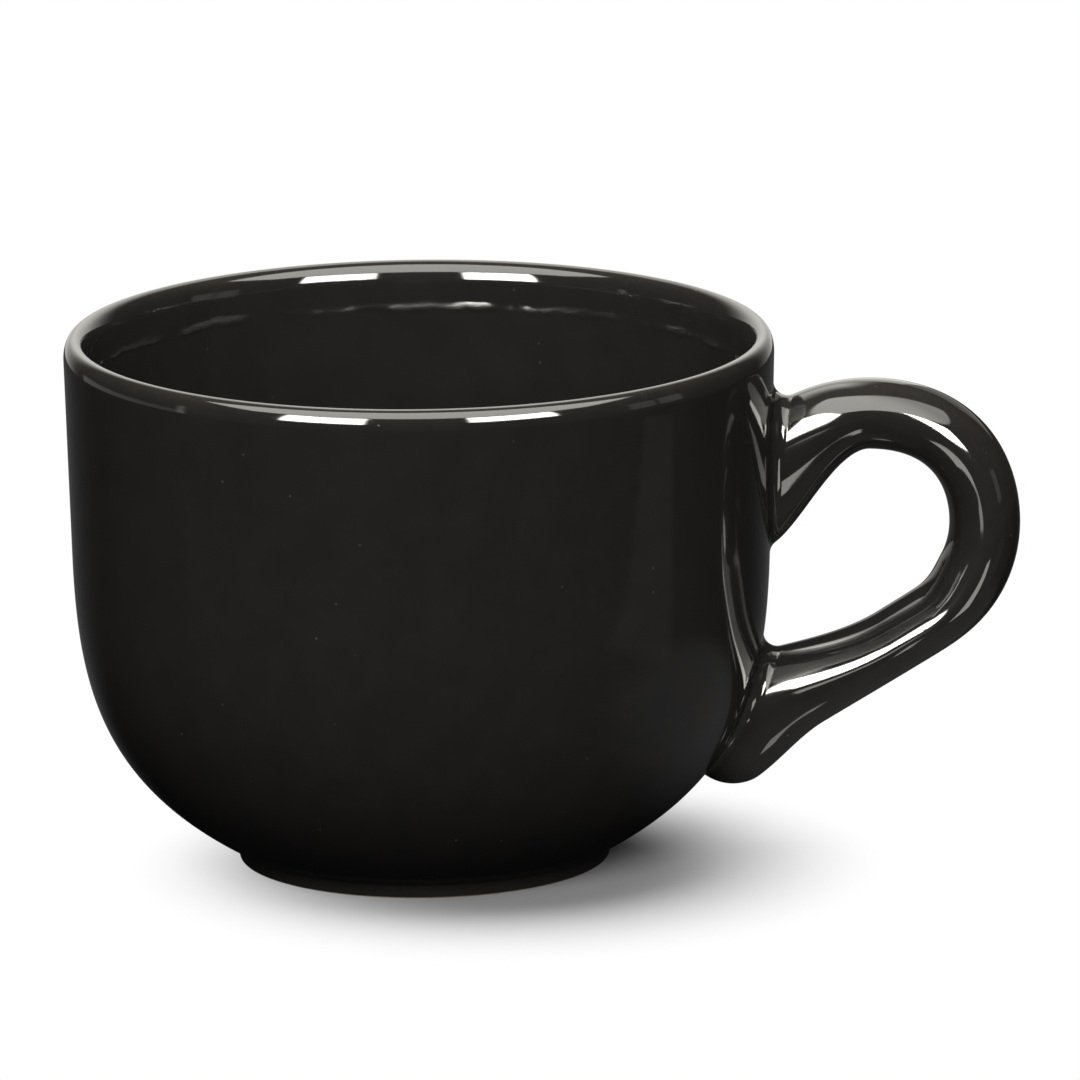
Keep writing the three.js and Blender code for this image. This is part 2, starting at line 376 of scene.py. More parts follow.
class HandleForm:
    """The handle's surface and the wall that it stands on."""

    def __init__(self, sizes):
        self.sizes = sizes
        self.wall = outer_line(sizes, FINE_BELLY_STEPS, FINE_WALL_STEPS)
        self.wall_out = side_normals(self.wall)
        half = sizes.handle_thickness / 2
        radius = sizes.loop_radius
        self.loop = np.array([sizes.handle_reach - half - radius, sizes.handle_top - half - radius])
        self.upper = self.loop + [0, radius - UPPER_LIMB_RADIUS]
        inside = sizes.rim_diameter / 2 - ROOT_SINK
        self.upper_start = math.acos((inside - self.upper[0]) / UPPER_LIMB_RADIUS)
        self.upper_length = UPPER_LIMB_RADIUS * (self.upper_start - math.pi / 2)
        landing_radius = np.interp(LOWER_ROOT_HEIGHT, self.wall[:, 1], self.wall[:, 0])
        landing = np.array([landing_radius, LOWER_ROOT_HEIGHT])
        away = landing - self.loop
        span = np.linalg.norm(away)
        leaving = math.atan2(away[1], away[0]) % (2 * math.pi) + math.acos(radius / span)
        self.limb_start = self.loop + radius * polar(leaving)
        self.limb_run = polar(leaving - math.pi / 2)
        self.loop_end = self.upper_length + radius * (math.pi / 2 + 2 * math.pi - leaving)
        self.lower_wall = self.loop_end + np.linalg.norm(landing - self.limb_start)
        self.end = self.lower_wall + ROOT_SINK
        self.upper_wall = self.search(
            lambda d: self.clearance(self.flat(d))[0], np.zeros(1), np.full(1, self.upper_length))[0]

    def raw_centreline(self, distance):
        """Place and outward direction of the arcs and the straight limb, joined end to end."""
        d = np.asarray(distance, float)
        rising = self.upper_start - d / UPPER_LIMB_RADIUS
        upper = self.upper + UPPER_LIMB_RADIUS * np.stack([np.cos(rising), np.sin(rising)], axis=-1)
        radius = self.sizes.loop_radius
        turning = math.pi / 2 - (np.clip(d, self.upper_length, self.loop_end) - self.upper_length) / radius
        outward = np.stack([np.cos(turning), np.sin(turning)], axis=-1)
        loop = self.loop + radius * outward
        loop = loop + np.maximum(d - self.loop_end, 0)[..., None] * self.limb_run
        quarter_turn = np.clip((d - self.upper_length) / (radius * math.pi / 2), 0, 1)
        near_wall = 1 - eased(d, self.upper_length / 3, self.upper_length + radius / 3)
        lift = LOOP_SHOULDER * np.sin(math.pi * quarter_turn) ** 2 + UPPER_LIMB_LIFT * near_wall
        place = np.where((d < self.upper_length)[..., None], upper, loop)
        return place + lift[..., None] * outward, outward

    def centreline(self, distance):
        """The same line with its changes of curvature eased over a few millimetres."""
        d = np.asarray(distance, float)
        places, outwards, total = 0, 0, 0
        for share in np.linspace(-1, 1, EASING_STEPS):
            weight = 1 - abs(share) / EASING_TAPER
            place, outward = self.raw_centreline(d + share * EASING)
            places, outwards, total = places + weight * place, outwards + weight * outward, total + weight
        outwards = outwards / np.linalg.norm(outwards, axis=-1)[..., None]
        return places / total, outwards

    def flat(self, distance):
        place, _ = self.centreline(distance)
        return np.stack([place[:, 0], np.zeros(len(place)), place[:, 1]], axis=-1)

    def surface(self, distance, turn):
        """Points of the handle's skin, from the axis."""
        sizes = self.sizes
        place, outward = self.centreline(distance)
        upper_root = 1 - eased(distance, self.upper_wall, self.upper_wall + UPPER_ROOT_LENGTH)
        lower_root = eased(distance, self.lower_wall - LOWER_ROOT_LENGTH, self.lower_wall)
        tail = eased(distance, self.lower_wall - TAIL_LENGTH, self.lower_wall)
        tip = np.clip((distance - self.end + TAIL_TIP) / TAIL_TIP, 0, TIP_LIMIT)
        closing = np.sqrt(1 - tip * tip)
        thinning = eased(distance, self.loop_end - LIMB_THINNING_LENGTH, self.loop_end)
        half = sizes.handle_thickness / 2
        out_half = half - LIMB_THINNING_OUT * thinning + TAIL_DROP * tail
        in_half = half - LIMB_THINNING_IN * thinning
        in_half += UPPER_ROOT_DROP * upper_root + LOWER_ROOT_RISE * lower_root
        height = np.cos(turn)
        broadening = LIMB_SPREAD * eased(distance, self.upper_length, self.loop_end)
        narrowing_start = self.loop_end - LIMB_THINNING_LENGTH / 2
        narrower = LIMB_NARROWING * eased(distance, narrowing_start, self.lower_wall)
        spread = sizes.handle_width / 2 + broadening - narrower + ROOT_SPREAD * np.maximum(upper_root, tail)
        narrowing = 1 - UPPER_ROOT_NARROWING * upper_root * (1 - height) / 2
        rise = ((out_half - in_half) / 2 + height * (out_half + in_half) / 2) * closing
        side = np.sin(turn) * spread * narrowing * closing
        spot = place + rise[..., None] * outward
        return np.stack([spot[..., 0], side, spot[..., 1]], axis=-1)

    def normals(self, distance, turn):
        """Outward unit normals of the handle's skin."""
        step, twist = 0.02 * MM, 0.002
        along = self.surface(distance + step, turn) - self.surface(distance - step, turn)
        around = self.surface(distance, turn + twist) - self.surface(distance, turn - twist)
        out = np.cross(along, around)
        out /= np.linalg.norm(out, axis=-1)[..., None]
        return out

    def clearance(self, points):
        """Distance from points to the wall's outside, less than zero inside, and the wall's
        normal there."""
        flat = np.stack([np.hypot(points[..., 0], points[..., 1]), points[..., 2]], axis=-1).reshape(-1, 2)
        start, run = self.wall[:-1], np.diff(self.wall, axis=0)
        reach = flat[:, None, :] - start[None]
        share = np.clip((reach * run).sum(-1) / (run * run).sum(-1), 0, 1)
        gap = np.linalg.norm(reach - share[..., None] * run, axis=-1)
        best = gap.argmin(axis=1)
        rows = np.arange(len(flat))
        part = share[rows, best][:, None]
        out = self.wall_out[best] * (1 - part) + self.wall_out[best + 1] * part
        out /= np.linalg.norm(out, axis=1)[:, None]
        side = np.sign((reach[rows, best] * out).sum(-1))
        shape = points.shape[:-1]
        around = points[..., :2] / np.hypot(points[..., 0], points[..., 1])[..., None]
        out = out.reshape(*shape, 2)
        normal = np.concatenate([around * out[..., :1], out[..., 1:]], axis=-1)
        return (side * gap[rows, best]).reshape(shape), normal

    def search(self, gap, inside, outside):
        """Distance where a gap that is below zero inside the wall becomes zero."""
        for _ in range(SEARCH_STEPS):
            middle = (inside + outside) / 2
            within = gap(middle) < 0
            inside, outside = np.where(within, middle, inside), np.where(within, outside, middle)
        return middle

    def rolled(self, turn, radius, inside, outside):
        """Where a ball that rolls round the root touches the handle, with its centre and the
        wall's normal."""
        def gap(distance):
            centre = self.surface(distance, turn) + radius[:, None] * self.normals(distance, turn)
            return self.clearance(centre)[0] - radius
        distance = self.search(gap, np.full_like(turn, inside), np.full_like(turn, outside))
        out = self.normals(distance, turn)
        centre = self.surface(distance, turn) + radius[:, None] * out
        return distance, centre, out, self.clearance(centre)[1]


def handle_turns():
    return 2 * math.pi * np.arange(HANDLE_SIDES) / HANDLE_SIDES


def upper_roll(form):
    turn = handle_turns()
    radius = np.full_like(turn, form.sizes.fillet_radius)
    return radius, form.rolled(turn, radius, 0.0, form.upper_length)


def lower_roll(form):
    turn = handle_turns()
    inner_side = (1 - np.cos(turn)) / 2
    widening = eased(inner_side, *TAIL_FILLET_SPAN)
    radius = TAIL_FILLET + (form.sizes.fillet_radius - TAIL_FILLET) * widening
    return radius, form.rolled(turn, radius, form.end - TIP_MARGIN, form.loop_end)


def ring_faces(count, sides):
    """Quads between rings of points, each of which closes on itself."""
    faces = []
    for a in range(0, (count - 1) * sides, sides):
        for j in range(sides):
            k = (j + 1) % sides
            faces.append((a + j, a + k, a + sides + k, a + sides + j))
    return faces


def grid_piece(name, rows, normals, flipped):
    """A tube of rows of points with exact normals."""
    points = rows.reshape(-1, 3) + np.array([AXIS_X, 0, 0])
    faces = ring_faces(*rows.shape[:2])
    if flipped:
        faces = [face[::-1] for face in faces]
    piece = new_piece(name, points, faces)
    piece.data.normals_split_custom_set_from_vertices([tuple(n) for n in normals.reshape(-1, 3)])
    return piece


def fillet_piece(name, radius, roll, flipped):
    """The hollow of slip between two lines of contact, with its thin edge let into the wall."""
    _, centre, handle_out, wall_out = roll
    opening = np.arccos(np.clip((handle_out * wall_out).sum(-1), -1, 1))[:, None]
    rows, normals = [], []
    for share in np.linspace(0, 1, FILLET_STEPS + 1):
        out = np.sin((1 - share) * opening) * handle_out + np.sin(share * opening) * wall_out
        out /= np.sin(opening)
        rows.append(centre - radius[:, None] * out)
        normals.append(out)
    rows.append(rows[-1] - FILLET_EDGE * wall_out)
    normals.append(wall_out)
    return grid_piece(name, np.stack(rows), np.stack(normals), flipped)


# Materials

# Noises in the glaze: width of a patch, detail and roughness
GLAZE_NOISES = {
    "cloud": (7 * MM, 4.0, 0.6),
    "grain": (0.9 * MM, 3.0, 0.65),
    "swell": (5 * MM, 1.5, 0.4),
    "wave": (8 * MM, 2.0, 0.55),
    "gaps": (11 * MM, 3.0, 0.6),
}
SPECK_SPACING = 3.4 * MM
PIT_DEPTH = 0.02 * MM
SWELL_HEIGHT = 0.012 * MM
RIDGE_WANDER = 0.9 * MM
RIDGE_HALF_WIDTH = 1.0 * MM
RIDGE_HEIGHT = 0.115 * MM
RIDGE_ROUGHNESS = 0.3
GRIT_WIDTH = 0.6 * MM
GRIT_HEIGHT = 0.05 * MM


def add(tree, kind, inputs=None, **settings):
    """A node with its settings, values and links."""
    made = tree.nodes.new(kind)
    for name, value in settings.items():
        setattr(made, name, value)
    for socket, value in (inputs or {}).items():
        if isinstance(value, bpy.types.NodeSocket):
            tree.links.new(value, made.inputs[socket])
        else:
            made.inputs[socket].default_value = value
    return made


def new_material(name):
    material = bpy.data.materials.get(name) or bpy.data.materials.new(name)
    material.use_nodes = True
    material.node_tree.nodes.clear()
    return material


def black_stoneware_glaze(sizes, colours):
    """Black iron glaze, dipped and fired to a glassy coat. The eye gets crisp reflections on
    an almost black ground, faint warm clouds in it, a brown tinge where it thins over edges,
    fine mineral specks, a slight orange-peel swell, and a wandering ridge inside the lip where
    the glaze ran back."""
    material = new_material("black_stoneware_glaze")
    tree = material.node_tree
    ridge_height = sizes.height - RIDGE_DEPTH
    place = add(tree, "ShaderNodeTexCoord").outputs["Object"]
    noise = {}
    for name, (width, detail, roughness) in GLAZE_NOISES.items():
        noise[name] = add(tree, "ShaderNodeTexNoise", {
            "Vector": place, "Scale": 1 / width, "Detail": detail, "Roughness": roughness,
        }).outputs["Fac"]
    clouded = add(tree, "ShaderNodeMapRange", {"Value": noise["cloud"], "From Min": 0.35, "From Max": 0.68})
    ground = add(tree, "ShaderNodeMix", {
        "Factor": clouded.outputs["Result"], 6: opaque(colours.glaze), 7: opaque(colours.mottle),
    }, data_type="RGBA")
    thin = add(tree, "ShaderNodeAttribute", attribute_name="thin_glaze")
    grained = add(tree, "ShaderNodeMapRange", {"Value": noise["grain"], "From Min": 0.38, "From Max": 0.66})
    worn = add(tree, "ShaderNodeMath", {
        0: thin.outputs["Fac"], 1: grained.outputs["Result"],
    }, operation="MULTIPLY")
    tinged = add(tree, "ShaderNodeMix", {
        "Factor": worn.outputs["Value"], 6: ground.outputs[2], 7: opaque(colours.thin_glaze),
    }, data_type="RGBA")
    cells = add(tree, "ShaderNodeTexVoronoi", {
        "Vector": place, "Scale": 1 / SPECK_SPACING, "Randomness": 1.0,
    })
    dot = add(tree, "ShaderNodeMapRange", {
        "Value": cells.outputs["Distance"],
        "From Min": 0.035, "From Max": 0.075, "To Min": 1.0, "To Max": 0.0,
    })
    chance = add(tree, "ShaderNodeSeparateColor", {"Color": cells.outputs["Color"]})
    chosen = add(tree, "ShaderNodeMapRange", {
        "Value": chance.outputs["Red"], "From Min": 0.55, "From Max": 1.0,
    })
    speck = add(tree, "ShaderNodeMath", {
        0: dot.outputs["Result"], 1: chosen.outputs["Result"],
    }, operation="MULTIPLY")
    flecked = add(tree, "ShaderNodeMix", {
        "Factor": speck.outputs["Value"], 6: tinged.outputs[2], 7: opaque(colours.speck),
    }, data_type="RGBA")
    sheen = add(tree, "ShaderNodeMapRange", {
        "Value": noise["cloud"], "From Min": 0.3, "From Max": 0.7, "To Min": 0.035, "To Max": 0.075,
    })
    swell = add(tree, "ShaderNodeBump", {
        "Height": noise["swell"], "Strength": 1.0, "Distance": SWELL_HEIGHT,
    })
    level = add(tree, "ShaderNodeSeparateXYZ", {"Vector": place})
    wander = add(tree, "ShaderNodeMapRange", {
        "Value": noise["wave"], "To Min": ridge_height - RIDGE_WANDER, "To Max": ridge_height + RIDGE_WANDER,
    })
    off = add(tree, "ShaderNodeMath", {
        0: level.outputs["Z"], 1: wander.outputs["Result"],
    }, operation="SUBTRACT")
    apart = add(tree, "ShaderNodeMath", {0: off.outputs["Value"]}, operation="ABSOLUTE")
    crest = add(tree, "ShaderNodeMapRange", {
        "Value": apart.outputs["Value"], "From Max": RIDGE_HALF_WIDTH, "To Min": 1.0, "To Max": 0.0,
    }, interpolation_type="SMOOTHSTEP")
    inner = add(tree, "ShaderNodeAttribute", attribute_name="inside")
    broken = add(tree, "ShaderNodeMapRange", {"Value": noise["gaps"], "From Min": 0.36, "From Max": 0.54})
    whole = add(tree, "ShaderNodeMath", {
        0: crest.outputs["Result"], 1: inner.outputs["Fac"],
    }, operation="MULTIPLY")
    ridge = add(tree, "ShaderNodeMath", {
        0: whole.outputs["Value"], 1: broken.outputs["Result"],
    }, operation="MULTIPLY")
    ridged = add(tree, "ShaderNodeBump", {
        "Height": ridge.outputs["Value"], "Normal": swell.outputs["Normal"],
        "Strength": 1.0, "Distance": RIDGE_HEIGHT,
    })
    rippled = add(tree, "ShaderNodeMath", {
        0: ridge.outputs["Value"], 1: RIDGE_ROUGHNESS, 2: sheen.outputs["Result"],
    }, operation="MULTIPLY_ADD")
    pit = add(tree, "ShaderNodeBump", {
        "Height": speck.outputs["Value"], "Normal": ridged.outputs["Normal"],
        "Strength": 0.5, "Distance": PIT_DEPTH,
    })
    shader = add(tree, "ShaderNodeBsdfPrincipled", {
        "Base Color": flecked.outputs[2], "Roughness": rippled.outputs["Value"], "IOR": 1.5,
        "Normal": pit.outputs["Normal"],
    })
    add(tree, "ShaderNodeOutputMaterial", {"Surface": shader.outputs["BSDF"]})
    return material


def bare_stoneware(colours):
    """Stoneware clay, wiped clean of glaze before firing and rubbed smooth. The eye gets a
    matt buff ring with a fine sandy grain and a few dark iron spots."""
    material = new_material("bare_stoneware")
    tree = material.node_tree
    place = add(tree, "ShaderNodeTexCoord").outputs["Object"]
    grit = add(tree, "ShaderNodeTexNoise", {
        "Vector": place, "Scale": 1 / GRIT_WIDTH, "Detail": 4.0, "Roughness": 0.6,
    })
    shade = add(tree, "ShaderNodeMapRange", {
        "Value": grit.outputs["Fac"], "From Min": 0.3, "From Max": 0.7,
    })
    body = add(tree, "ShaderNodeMix", {
        "Factor": shade.outputs["Result"], 6: opaque(linear("#9c8a74")), 7: opaque(colours.clay),
    }, data_type="RGBA")
    relief = add(tree, "ShaderNodeBump", {
        "Height": grit.outputs["Fac"], "Strength": 1.0, "Distance": GRIT_HEIGHT,
    })
    shader = add(tree, "ShaderNodeBsdfPrincipled", {
        "Base Color": body.outputs[2], "Roughness": 0.85, "IOR": 1.5, "Normal": relief.outputs["Normal"],
    })
    add(tree, "ShaderNodeOutputMaterial", {"Surface": shader.outputs["BSDF"]})
    return material


def mark(piece, name, amounts):
    """A number at each point, which the material reads."""
    layer = piece.data.attributes.new(name, "FLOAT", "POINT")
    layer.data.foreach_set("value", np.asarray(amounts, np.float32))


def seat(piece, *nodes):
    """Gives a piece its body and hides the solids that it stands for."""
    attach(piece, "root")
    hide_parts(*nodes)


# Operators

class MUG_OT_bowl(bpy.types.Operator):
    """Turn the bowl with its lip, foot ring and bare clay foot"""

    bl_idname = "mug.bowl"
    bl_label = "Bowl"

    def execute(self, context):
        sizes, colours = context.scene.mug_sizes, context.scene.mug_colours
        outside = outer_line(sizes, BELLY_STEPS, WALL_STEPS)
        profile = np.concatenate([foot_line(sizes), outside, lip_line(sizes), inner_line(sizes)])
        bowl = revolved("glazed_bowl", profile)
        bowl.data.materials.append(black_stoneware_glaze(sizes, colours))
        bowl.data.materials.append(bare_stoneware(colours))
        ring_inside = sizes.foot_diameter / 2 - FOOT_RING_WIDTH
        for face in bowl.data.polygons:
            radius = math.hypot(face.center.x - AXIS_X, face.center.y)
            if face.center.z < FOOT_EDGE / 2 and radius > ring_inside:
                face.material_index = 1
        places = np.array([v.co for v in bowl.data.vertices])
        radius, height = np.hypot(places[:, 0] - AXIS_X, places[:, 1]), places[:, 2]
        below_top = sizes.height - height
        mark(bowl, "thin_glaze", eased(below_top, THIN_GLAZE_END, THIN_GLAZE_START))
        crest = sizes.rim_diameter / 2 - LIP_OUTER_SHARE * sizes.lip_thickness
        mark(bowl, "inside", (radius < crest) & (height > WALL_START))
        seat(bowl, "bowl")
        return {"FINISHED"}


class MUG_OT_handle(bpy.types.Operator):
    """Loft the loop handle with its swept upper root and its tail along the bowl"""

    bl_idname = "mug.handle"
    bl_label = "Handle"

    def execute(self, context):
        sizes, colours = context.scene.mug_sizes, context.scene.mug_colours
        form = HandleForm(sizes)
        turn = handle_turns()
        first, last = upper_roll(form)[1][0], lower_roll(form)[1][0]
        share = np.linspace(0, 1, HANDLE_STEPS + 1)[:, None]
        distance = first + share * (last - first)
        turns = np.broadcast_to(turn, distance.shape)
        rows = form.surface(distance, turns)
        handle = grid_piece("loop_handle", rows, form.normals(distance, turns), True)
        handle.data.materials.append(black_stoneware_glaze(sizes, colours))
        outside = np.clip(np.cos(turns), 0, 1) ** 2
        beyond_root = eased(distance, form.upper_wall, form.upper_length)
        middle = beyond_root * (1 - eased(distance, form.loop_end, form.lower_wall))
        mark(handle, "thin_glaze", (outside * middle).reshape(-1))
        seat(handle, "handle")
        return {"FINISHED"}


class MUG_OT_fillets(bpy.types.Operator):
    """Smooth the slip into both angles between the handle and the wall"""

    bl_idname = "mug.fillets"
    bl_label = "Slip fillets"

    def execute(self, context):
        sizes, colours = context.scene.mug_sizes, context.scene.mug_colours
        form = HandleForm(sizes)
        upper = fillet_piece("upper_slip_fillet", *upper_roll(form), False)
        lower = fillet_piece("lower_slip_fillet", *lower_roll(form), True)
        for fillet, node in ((upper, "upper_slip_bead"), (lower, "lower_slip_bead")):
            fillet.data.materials.append(black_stoneware_glaze(sizes, colours))
            seat(fillet, node)
        return {"FINISHED"}


# Stage: the glaze mirrors two domes of light. Only the bowl sees one, and only the handle and its
# slip see the other, because the handle stands nearer to the lights. Azimuths run from the front
# towards the handle, and heights from the domes' middle, both in degrees.

STUDIO_WHITE = linear("#fffdf5")
DOME_MIDDLE = np.array([AXIS_X, 0, 75 * MM])
HANDLE_DOME_RADIUS = 0.55
BOWL_DOME_RADIUS = 1.01 * HANDLE_DOME_RADIUS
DOME_LOWEST = -9
DOME_STEP = 0.5
BASE_LIGHT = 0.03
HAZE_SPAN = (25, 60)

# The overhead panel, which both see
PANEL_SLANT = 0.39
PANEL_LEAN = 0.28
PANEL_BOW = 0.29
PANEL_BACK_EDGE = 0.05

# The bowl's dome
BOWL_PANEL = 7.2
BOWL_PANEL_LOW = 32
BOWL_PANEL_CORNER = 9.4
BOWL_PANEL_EDGE = 1.2
BOWL_BACKDROP = 0.9
BOWL_BACKDROP_SIDES = (134, 164)
BOWL_BACKDROP_TOP = (74, 62)
BOWL_BACKDROP_LOW_RISE, BOWL_BACKDROP_LOW_SPAN = 1.3, (0, 25)
BOWL_BACKDROP_HIGH_RISE, BOWL_BACKDROP_HIGH_SPAN = 1.8, (38, 48)
BOWL_HAZE = 0.2

# Softboxes and panes: azimuth from and to, height from and to, softness of the edge, and strength
BOWL_LIGHTS = (
    (-43.5, -16.5, 9.5, 30.5, 0.8, 40),
    (16, 44, 13, 30.5, 0.8, 40),
    (68.5, 78.5, -1, 14, 0.8, 0.5),
    (80, 89.5, -1, 14, 0.8, 0.5),
    (-132, -77, -8, -1, 1, 0.35),
    (-80, -77, -6, 10, 0.8, 1),
)

# The handle's dome
HANDLE_PANEL = 7.3
HANDLE_PANEL_LOW = 23.5
HANDLE_PANEL_CORNER = 17.6
HANDLE_PANEL_EDGE = 0.8
HANDLE_PANEL_LEFT, HANDLE_PANEL_LEFT_SLANT, HANDLE_PANEL_LEFT_EDGE = 3.8, -0.65, 1.0
HANDLE_PANEL_FALL, HANDLE_PANEL_FALL_SPAN = 3.0, (10, 55)
HANDLE_BACKDROP = 4.0
HANDLE_BACKDROP_OPPOSITE = 35
HANDLE_BACKDROP_SIDES = (125, 150)
HANDLE_BACKDROP_FOOT = (36, 47)
HANDLE_BACKDROP_TOP = (78, 54)
HANDLE_HORIZON, HANDLE_HORIZON_SPAN = 0.5, (6, -2)
HANDLE_HAZE = 0.15
HANDLE_LIGHTS = (
    (66, 80, 1, 13, 0.8, 0.5),
    (-48, -36, 31, 34, 0.6, 5),
)

# The shade sheet: almost black, it paints shade under the mug and carries painted reflections of a pane and
# of the far side, and a painted glow of the pale floor at the handle, from the mug's axis. Each pair runs
# from none to all of it.
SHADE_SHEET_BASE = 0.003
SHADE_SHEET_HEIGHT = 0.1 * MM
SHADE_SHEET_REACH = 4
PANE = 0.07
PANE_LEFT, PANE_RIGHT = (130 * MM, 150 * MM), (340 * MM, 320 * MM)
PANE_NEAR, PANE_FAR = (-104 * MM, -92 * MM), (-25 * MM, -37 * MM)
FAR_SIDE = 0.085
FAR_SIDE_HALF_WIDTH = 53 * MM
FAR_SIDE_FAN = (math.radians(60), 0)
FAR_SIDE_START = (0, 90 * MM)
GLOW_MIDDLE = (105 * MM, -10 * MM, 0)
GLOW_REACH = (70 * MM, 30 * MM)
GLOW_MIRRORED = 0.1
GLOW_BOUNCE = 1.4

# Floor, lamps and camera
STAGE_REACH = 6
SHADE_MIDDLE = (AXIS_X + 12.5 * MM, -9 * MM, 0)
SHADE_REACH = (20 * MM, 59 * MM)
LAMP_AIM = (AXIS_X, 0, 0.04)
KEY_PLACE, KEY_WIDTH = (AXIS_X - 0.3, -0.1, 1.5), 1.6
FRONT_PLACE, FRONT_WIDTH = (AXIS_X, -1.8, 0.9), 1.2
CAMERA_PLACE = (AXIS_X + 0.01811, -2.43087, 0.62221)
CAMERA_LOOKS_DOWN = math.radians(13.27)
CAMERA_ROLL = -0.0105
CAMERA_LENS = 546.6
CAMERA_SENSOR = 36
CAMERA_SEES_TO = 50

# Where the handle's own panels lie
PANEL_RADIUS = 0.99 * HANDLE_DOME_RADIUS
STRIP_HEIGHT = 0.2 * MM
BACK_CARD_DEPTH = 45 * MM


def direction(azimuth, height):
    """Unit vectors towards azimuths and heights."""
    azimuth, height = np.radians(azimuth), np.radians(height)
    level = np.cos(height)
    return np.stack([level * np.sin(azimuth), -level * np.cos(azimuth), np.sin(height)], axis=-1)


def on_dome(azimuth, height):
    """A place just inside the handle's dome."""
    return DOME_MIDDLE + PANEL_RADIUS * direction(azimuth, height)


def above_shade_sheet(x, y):
    """A place just above the shade sheet, from the mug's axis in millimetres."""
    return AXIS_X + x * MM, y * MM, STRIP_HEIGHT


def behind_mug(x, z):
    """A place on the upright plane behind the mug, from its axis in millimetres."""
    return AXIS_X + x * MM, BACK_CARD_DEPTH, z * MM


# Panels that only the handle mirrors: what places their corners, the corners, and strength
HANDLE_PANELS = {
    "far_strip": (above_shade_sheet, ((8, -120), (42, -120), (-10, -540), (-70, -540)), 5.5),
    "right_strip": (above_shade_sheet, ((190, -215), (215, -170), (124, -52), (100, -75)), 5.5),
    "root_strip": (above_shade_sheet, ((75, -95), (80, -95), (82, -62), (77, -62)), 5),
    "tail_strip": (above_shade_sheet, ((65, -16.5), (69, -16.5), (65.5, -10), (61.5, -10)), 2.5),
    "left_softbox": (on_dome, ((-7, 4), (-7, 21), (-16, 33), (-29, 33), (-26, 20), (-19, 12)), 40),
    "right_softbox": (on_dome, ((15, 7), (33, 14.5), (33, 26), (15, 25)), 40),
    "far_strip_end": (on_dome, ((-16, -7.6), (-2, -7.6), (-2, -4), (-16, -4)), 4),
    "back_card": (behind_mug, ((-70, 76), (84, 76), (84, 112), (-70, 112)), 2.0),
    "back_card_end": (behind_mug, ((84, 76), (125, 76), (125, 112), (84, 112)), 0.5),
}


def between(value, low, high, edge):
    """1 between two limits and 0 outside them, with soft edges."""
    return eased(value, low - edge, low + edge) * eased(value, high + edge, high - edge)


def patches(azimuth, height, lights):
    """The light of softboxes and panes with upright sides."""
    return sum(
        strength * between(azimuth, left, right, edge) * between(height, low, high, edge)
        for left, right, low, high, edge, strength in lights)


def panel_front(azimuth, height):
    """1 in front of the overhead panel's bowed back edge and 0 behind it."""
    x, y, z = direction(azimuth, height).T
    return eased(y + PANEL_LEAN * z - PANEL_BOW * x * x, PANEL_BACK_EDGE, -PANEL_BACK_EDGE)


def bowl_light(azimuth, height):
    """What the bowl mirrors: a wide panel overhead, two softboxes in front, faint panes at the
    sides, and a pale backdrop that is brighter higher up."""
    turned = np.abs(azimuth)
    low_edge = np.maximum(PANEL_SLANT * turned + BOWL_PANEL_CORNER, BOWL_PANEL_LOW)
    panel = BOWL_PANEL * eased(height - low_edge, -BOWL_PANEL_EDGE, BOWL_PANEL_EDGE)
    panel *= panel_front(azimuth, height)
    backdrop = BOWL_BACKDROP + BOWL_BACKDROP_LOW_RISE * eased(height, *BOWL_BACKDROP_LOW_SPAN)
    backdrop += BOWL_BACKDROP_HIGH_RISE * eased(height, *BOWL_BACKDROP_HIGH_SPAN)
    backdrop *= eased(turned, *BOWL_BACKDROP_SIDES) * eased(height, *BOWL_BACKDROP_TOP)
    haze = BOWL_HAZE * eased(height, *HAZE_SPAN)
    return panel + backdrop + haze + patches(azimuth, height, BOWL_LIGHTS) + BASE_LIGHT


def handle_light(azimuth, height):
    """The same studio as the handle mirrors it: the panel's left side slants, its light falls off
    to the right, and the backdrop stands on the left."""
    low_edge = np.maximum(PANEL_SLANT * azimuth + HANDLE_PANEL_CORNER, HANDLE_PANEL_LOW)
    left_edge = HANDLE_PANEL_LEFT + HANDLE_PANEL_LEFT_SLANT * height
    panel = HANDLE_PANEL - HANDLE_PANEL_FALL * eased(azimuth, *HANDLE_PANEL_FALL_SPAN)
    panel *= eased(height - low_edge, -HANDLE_PANEL_EDGE, HANDLE_PANEL_EDGE)
    panel *= eased(azimuth - left_edge, -HANDLE_PANEL_LEFT_EDGE, HANDLE_PANEL_LEFT_EDGE)
    panel *= panel_front(azimuth, height)
    far = eased(np.abs(azimuth - HANDLE_BACKDROP_OPPOSITE), *HANDLE_BACKDROP_SIDES)
    backdrop = HANDLE_BACKDROP * eased(height, *HANDLE_BACKDROP_FOOT) * eased(height, *HANDLE_BACKDROP_TOP)
    horizon = HANDLE_HORIZON * eased(height, *HANDLE_HORIZON_SPAN)
    haze = HANDLE_HAZE * eased(height, *HAZE_SPAN)
    lights = patches(azimuth, height, HANDLE_LIGHTS)
    return panel + far * (backdrop + horizon) + haze + lights + BASE_LIGHT


def only_in_reflections(obj):
    obj.visible_camera = obj.visible_diffuse = obj.visible_shadow = False
    obj.visible_transmission = obj.visible_volume_scatter = False


def studio_light(name, strength=None, clear=True):
    """Light of one strength, or as strong as each point says. Pieces that it isn't linked to look
    through it if it is clear."""
    material = new_material(name)
    tree = material.node_tree
    if strength is None:
        strength = add(tree, "ShaderNodeAttribute", attribute_name="light").outputs["Fac"]
        material.cycles.emission_sampling = "NONE"
    light = add(tree, "ShaderNodeEmission", {"Color": opaque(STUDIO_WHITE), "Strength": strength})
    surface = light.outputs["Emission"]
    if clear:
        glass = add(tree, "ShaderNodeBsdfTransparent")
        both = add(tree, "ShaderNodeAddShader", {0: surface, 1: glass.outputs["BSDF"]})
        surface = both.outputs["Shader"]
    add(tree, "ShaderNodeOutputMaterial", {"Surface": surface})
    return material


